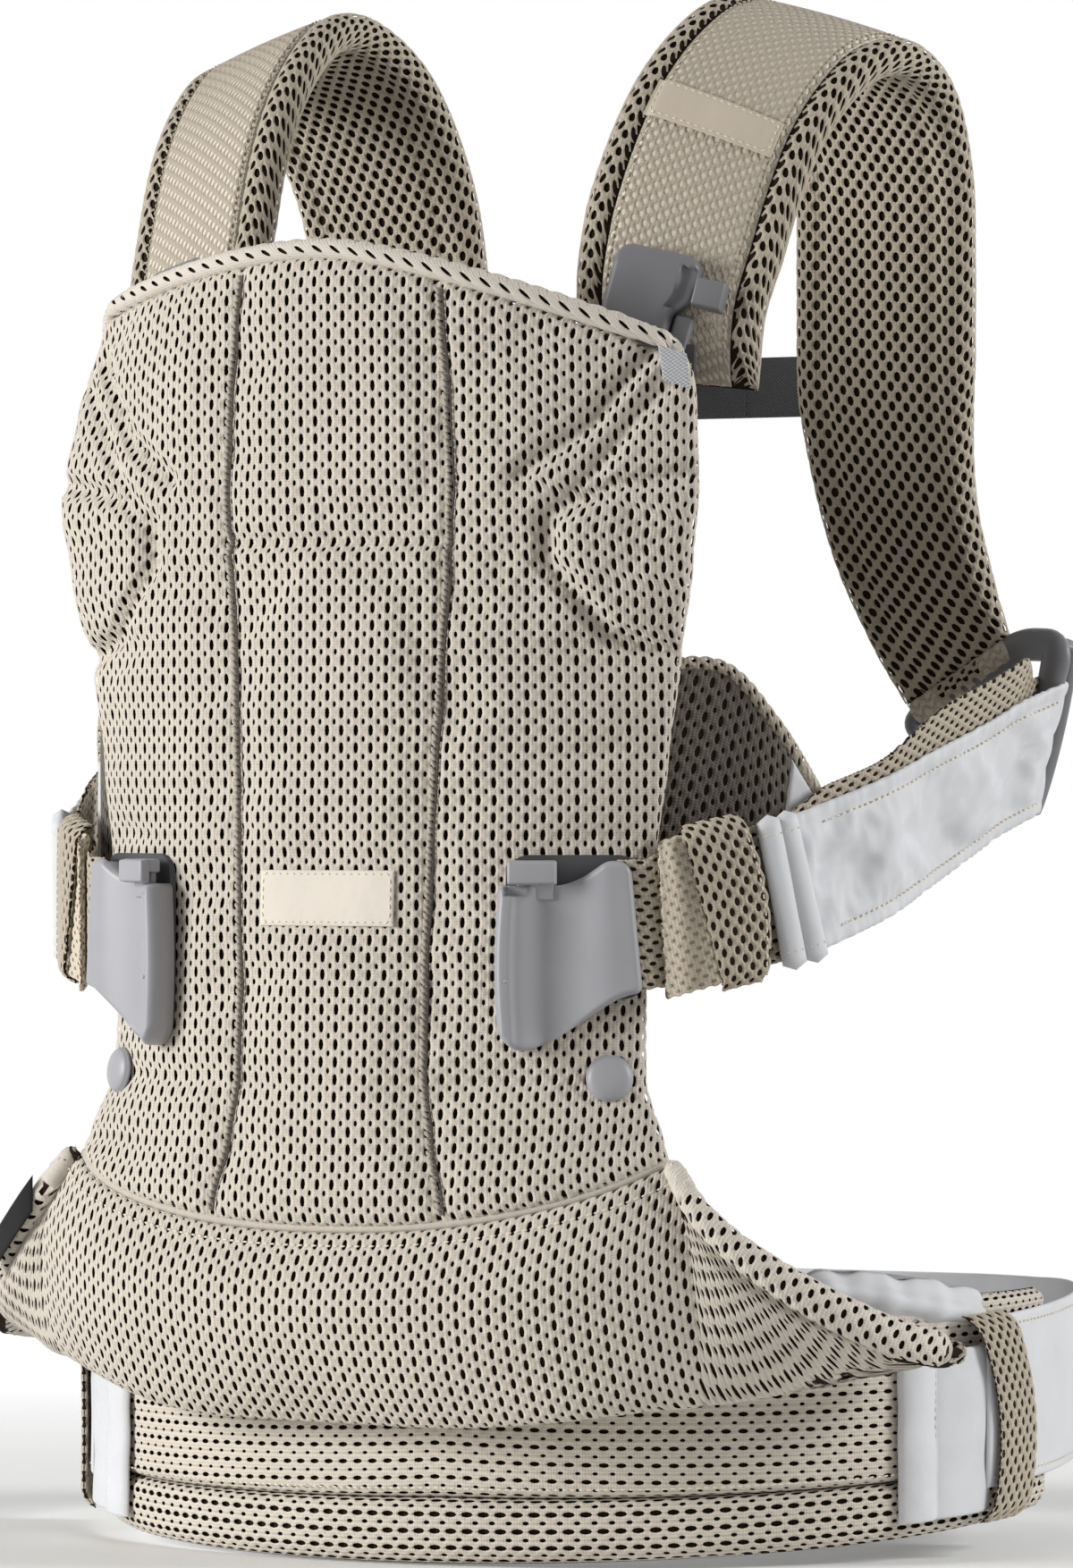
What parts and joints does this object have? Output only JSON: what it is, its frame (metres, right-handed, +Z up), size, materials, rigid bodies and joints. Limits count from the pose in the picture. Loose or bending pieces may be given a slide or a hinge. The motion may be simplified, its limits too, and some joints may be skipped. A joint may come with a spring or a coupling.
{
  "type": "soft baby carrier",
  "caption": "Soft padded carrier of spacer mesh: seat and front panel with fold-down head support, waist belt, arched shoulder straps and clip buckles that hold a baby to an adult's chest.",
  "frame": {"origin": "middle of the waist opening, level with the lower edge of the belt at its sides", "axes": "+Z up the wearer's body, -Y the front of the carrier away from the wearer, +X the viewer's right when facing the front"},
  "size_m": [0.4068, 0.3307, 0.5545],
  "materials": {
    "beige_mesh": "open spacer mesh",
    "cream_mesh": "open binding mesh",
    "taupe_mesh": "dotted spacer mesh",
    "grey_cloth": "plain weave",
    "grey_plastic": "satin",
    "dark_plastic": "matt",
    "dark_webbing": "coarse weave",
    "cream_label": "woven",
    "black_tape": "woven"
  },
  "bodies": {
    "carrier": {"back_webbing": "dark_webbing", "belt_lining": "grey_cloth", "chest_label": "cream_label", "front_panel": "beige_mesh", "leg_roll_left": "cream_mesh", "leg_roll_right": "cream_mesh", "seat_pouch": "beige_mesh", "shoulder_base_left": "dark_plastic", "shoulder_base_right": "dark_plastic", "shoulder_clip_left": "grey_plastic", "shoulder_clip_right": "grey_plastic", "shoulder_strap_left": "taupe_mesh", "shoulder_strap_right": "taupe_mesh", "side_base_left": "dark_plastic", "side_base_right": "dark_plastic", "side_gusset_left": "beige_mesh", "side_gusset_right": "beige_mesh", "side_tag": "black_tape", "side_wing_left": "beige_mesh", "side_wing_right": "beige_mesh", "slider_ring_left": "grey_plastic", "slider_ring_right": "grey_plastic", "snap_stud_left": "dark_plastic", "snap_stud_right": "dark_plastic", "strap_label": "taupe_mesh", "waist_keeper_left": "cream_mesh", "waist_keeper_right": "cream_mesh", "waist_pad": "beige_mesh", "waist_sleeve_left": "grey_cloth", "waist_sleeve_right": "grey_cloth", "waist_socket": "grey_plastic", "waist_strap_left": "grey_cloth", "waist_strap_right": "grey_cloth"},
    "head": {"head_support": "beige_mesh", "head_support_roll": "cream_mesh", "corner_tag": "cream_label"},
    "plug": {"waist_plug": "grey_plastic"},
    "waist_press": {"waist_button": "dark_plastic"},
    "left_side_strap": {"side_strap_left": "grey_cloth", "strap_fold_left": "grey_cloth", "side_keeper_left": "cream_mesh", "strap_stop_left": "grey_cloth", "side_clip_left": "grey_plastic"},
    "left_side_press": {"side_button_left": "grey_plastic"},
    "left_shoulder_press": {"shoulder_button_left": "grey_plastic"},
    "left_snap": {"snap_cap_left": "grey_plastic"},
    "right_side_strap": {"side_strap_right": "grey_cloth", "strap_fold_right": "grey_cloth", "side_keeper_right": "cream_mesh", "strap_stop_right": "grey_cloth", "side_clip_right": "grey_plastic"},
    "right_side_press": {"side_button_right": "grey_plastic"},
    "right_shoulder_press": {"shoulder_button_right": "grey_plastic"},
    "right_snap": {"snap_cap_right": "grey_plastic"}
  },
  "joints": [
    {"name": "head_support_fold", "type": "hinge", "parent": "carrier", "child": "head", "pos_m": [0, -0.1654, 0.353], "axis": [1, 0, 0], "range_deg": [0, 160], "deforming": ["side_gusset_left", "side_gusset_right"]},
    {"name": "right_side_strap_swing", "type": "hinge", "parent": "carrier", "child": "right_side_strap", "pos_m": [0.165, 0.047, 0.282], "axis": [0.2425, 0, 0.9701], "range_deg": [0, 60]},
    {"name": "right_side_button", "type": "slide", "parent": "right_side_strap", "child": "right_side_press", "axis": [0, 0, -1], "range_m": [0, 0.003], "stiffness_N_per_m": 1500},
    {"name": "right_shoulder_button", "type": "slide", "parent": "carrier", "child": "right_shoulder_press", "axis": [-0.9527, -0.304, 0], "range_m": [0, 0.003], "stiffness_N_per_m": 1500},
    {"name": "right_snap_pull", "type": "slide", "parent": "carrier", "child": "right_snap", "axis": [0.5199, -0.8463, 0.1157], "range_m": [0, 0.005]},
    {"name": "left_side_strap_swing", "type": "hinge", "parent": "carrier", "child": "left_side_strap", "pos_m": [-0.165, 0.047, 0.282], "axis": [0.2425, 0, -0.9701], "range_deg": [0, 60]},
    {"name": "left_side_button", "type": "slide", "parent": "left_side_strap", "child": "left_side_press", "axis": [0, 0, -1], "range_m": [0, 0.003], "stiffness_N_per_m": 1500},
    {"name": "left_shoulder_button", "type": "slide", "parent": "carrier", "child": "left_shoulder_press", "axis": [0.9527, -0.304, 0], "range_m": [0, 0.003], "stiffness_N_per_m": 1500},
    {"name": "left_snap_pull", "type": "slide", "parent": "carrier", "child": "left_snap", "axis": [-0.5199, -0.8463, 0.1157], "range_m": [0, 0.005]},
    {"name": "waist_plug_slide", "type": "slide", "parent": "carrier", "child": "plug", "axis": [1, 0, 0], "range_m": [0, 0.04]},
    {"name": "waist_button", "type": "slide", "parent": "carrier", "child": "waist_press", "axis": [0, -1, 0], "range_m": [0, 0.002], "stiffness_N_per_m": 2500}
  ]
}
